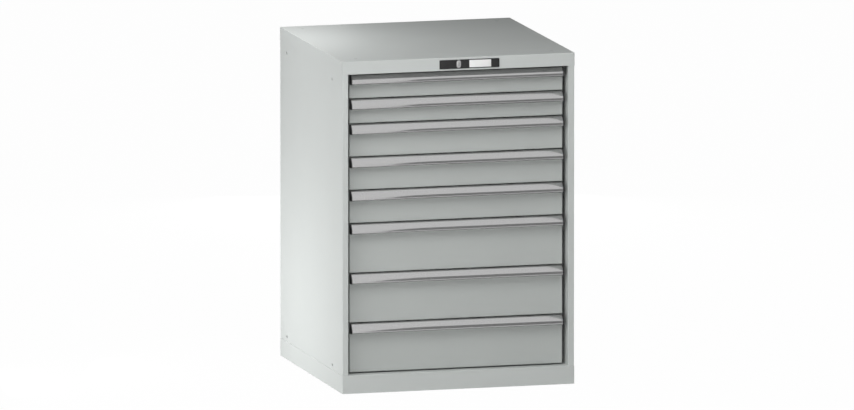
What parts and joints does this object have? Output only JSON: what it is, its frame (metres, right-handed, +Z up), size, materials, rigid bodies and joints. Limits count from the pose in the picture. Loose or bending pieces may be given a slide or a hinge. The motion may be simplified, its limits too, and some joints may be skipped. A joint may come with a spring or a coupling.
{
  "type": "multi-drawer cabinet",
  "caption": "Free-standing steel cabinet of wide shallow and deeper drawers on full-extension roller slides, with aluminium grips and a central lock in the top rim.",
  "frame": {"origin": "centre of the footprint, on the floor", "axes": "+Z up, -Y out of the drawer fronts, +X to the right of someone who faces the fronts"},
  "size_m": [0.717, 0.7277, 1],
  "materials": {
    "grey_paint": "light grey powder coat, satin, fine texture",
    "anodised_aluminium": "satin anodised extrusion",
    "black_plastic": "matt moulded",
    "grey_plastic": "matt moulded",
    "label_white": "smooth blank insert",
    "chrome_plate": "bright plated",
    "zinc_steel": "zinc plated, satin"
  },
  "bodies": {
    "cabinet": {"top_cover": "grey_paint", "base_frame": "grey_paint", "side_panel_left": "grey_paint", "side_panel_right": "grey_paint", "back_panel": "grey_paint", "uprights_left": "zinc_steel", "uprights_right": "zinc_steel", "rails_left": "zinc_steel", "rails_right": "zinc_steel", "top_plugs": "grey_plastic", "back_screws": "zinc_steel", "shell_screws": "zinc_steel", "lock_plate": "black_plastic", "lock_label": "label_white", "lock_cylinder": "chrome_plate", "shaft_bracket": "zinc_steel", "bar_guides": "black_plastic"},
    "lock": {"lock_core": "chrome_plate", "lock_shaft": "zinc_steel"},
    "locking_bar": {"locking_bar": "zinc_steel"},
    "drawer_1": {"drawer_1_tray": "grey_paint", "drawer_1_front": "grey_paint", "drawer_1_handle": "anodised_aluminium", "drawer_1_end_caps": "black_plastic"},
    "carriage_1": {"drawer_1_carriage": "zinc_steel"},
    "drawer_2": {"drawer_2_tray": "grey_paint", "drawer_2_front": "grey_paint", "drawer_2_handle": "anodised_aluminium", "drawer_2_end_caps": "black_plastic"},
    "carriage_2": {"drawer_2_carriage": "zinc_steel"},
    "drawer_3": {"drawer_3_tray": "grey_paint", "drawer_3_front": "grey_paint", "drawer_3_handle": "anodised_aluminium", "drawer_3_end_caps": "black_plastic"},
    "carriage_3": {"drawer_3_carriage": "zinc_steel"},
    "drawer_4": {"drawer_4_tray": "grey_paint", "drawer_4_front": "grey_paint", "drawer_4_handle": "anodised_aluminium", "drawer_4_end_caps": "black_plastic"},
    "carriage_4": {"drawer_4_carriage": "zinc_steel"},
    "drawer_5": {"drawer_5_tray": "grey_paint", "drawer_5_front": "grey_paint", "drawer_5_handle": "anodised_aluminium", "drawer_5_end_caps": "black_plastic"},
    "carriage_5": {"drawer_5_carriage": "zinc_steel"},
    "drawer_6": {"drawer_6_tray": "grey_paint", "drawer_6_front": "grey_paint", "drawer_6_handle": "anodised_aluminium", "drawer_6_end_caps": "black_plastic"},
    "carriage_6": {"drawer_6_carriage": "zinc_steel"},
    "drawer_7": {"drawer_7_tray": "grey_paint", "drawer_7_front": "grey_paint", "drawer_7_handle": "anodised_aluminium", "drawer_7_end_caps": "black_plastic"},
    "carriage_7": {"drawer_7_carriage": "zinc_steel"},
    "drawer_8": {"drawer_8_tray": "grey_paint", "drawer_8_front": "grey_paint", "drawer_8_handle": "anodised_aluminium", "drawer_8_end_caps": "black_plastic"},
    "carriage_8": {"drawer_8_carriage": "zinc_steel"}
  },
  "joints": [
    {"name": "lock_turn", "type": "hinge", "parent": "cabinet", "child": "lock", "pos_m": [0, 0, 0.9795], "axis": [0, 1, 0], "range_deg": [0, 90]},
    {"name": "locking_bar_lift", "type": "slide", "parent": "cabinet", "child": "locking_bar", "axis": [0, 0, 1], "range_m": [0, 0.012]},
    {"name": "drawer_1_slide", "type": "slide", "parent": "cabinet", "child": "drawer_1", "axis": [0, -1, 0], "range_m": [0, 0.64]},
    {"name": "carriage_1_slide", "type": "slide", "parent": "cabinet", "child": "carriage_1", "axis": [0, -1, 0], "range_m": [0, 0.32]},
    {"name": "drawer_2_slide", "type": "slide", "parent": "cabinet", "child": "drawer_2", "axis": [0, -1, 0], "range_m": [0, 0.64]},
    {"name": "carriage_2_slide", "type": "slide", "parent": "cabinet", "child": "carriage_2", "axis": [0, -1, 0], "range_m": [0, 0.32]},
    {"name": "drawer_3_slide", "type": "slide", "parent": "cabinet", "child": "drawer_3", "axis": [0, -1, 0], "range_m": [0, 0.64]},
    {"name": "carriage_3_slide", "type": "slide", "parent": "cabinet", "child": "carriage_3", "axis": [0, -1, 0], "range_m": [0, 0.32]},
    {"name": "drawer_4_slide", "type": "slide", "parent": "cabinet", "child": "drawer_4", "axis": [0, -1, 0], "range_m": [0, 0.64]},
    {"name": "carriage_4_slide", "type": "slide", "parent": "cabinet", "child": "carriage_4", "axis": [0, -1, 0], "range_m": [0, 0.32]},
    {"name": "drawer_5_slide", "type": "slide", "parent": "cabinet", "child": "drawer_5", "axis": [0, -1, 0], "range_m": [0, 0.64]},
    {"name": "carriage_5_slide", "type": "slide", "parent": "cabinet", "child": "carriage_5", "axis": [0, -1, 0], "range_m": [0, 0.32]},
    {"name": "drawer_6_slide", "type": "slide", "parent": "cabinet", "child": "drawer_6", "axis": [0, -1, 0], "range_m": [0, 0.64]},
    {"name": "carriage_6_slide", "type": "slide", "parent": "cabinet", "child": "carriage_6", "axis": [0, -1, 0], "range_m": [0, 0.32]},
    {"name": "drawer_7_slide", "type": "slide", "parent": "cabinet", "child": "drawer_7", "axis": [0, -1, 0], "range_m": [0, 0.64]},
    {"name": "carriage_7_slide", "type": "slide", "parent": "cabinet", "child": "carriage_7", "axis": [0, -1, 0], "range_m": [0, 0.32]},
    {"name": "drawer_8_slide", "type": "slide", "parent": "cabinet", "child": "drawer_8", "axis": [0, -1, 0], "range_m": [0, 0.64]},
    {"name": "carriage_8_slide", "type": "slide", "parent": "cabinet", "child": "carriage_8", "axis": [0, -1, 0], "range_m": [0, 0.32]}
  ],
  "couplings": [
    {"joint": "lock_turn", "follows": "locking_bar_lift", "rad_per_m": 130.9},
    {"joint": "carriage_1_slide", "follows": "drawer_1_slide", "ratio": 0.5},
    {"joint": "carriage_2_slide", "follows": "drawer_2_slide", "ratio": 0.5},
    {"joint": "carriage_3_slide", "follows": "drawer_3_slide", "ratio": 0.5},
    {"joint": "carriage_4_slide", "follows": "drawer_4_slide", "ratio": 0.5},
    {"joint": "carriage_5_slide", "follows": "drawer_5_slide", "ratio": 0.5},
    {"joint": "carriage_6_slide", "follows": "drawer_6_slide", "ratio": 0.5},
    {"joint": "carriage_7_slide", "follows": "drawer_7_slide", "ratio": 0.5},
    {"joint": "carriage_8_slide", "follows": "drawer_8_slide", "ratio": 0.5}
  ]
}
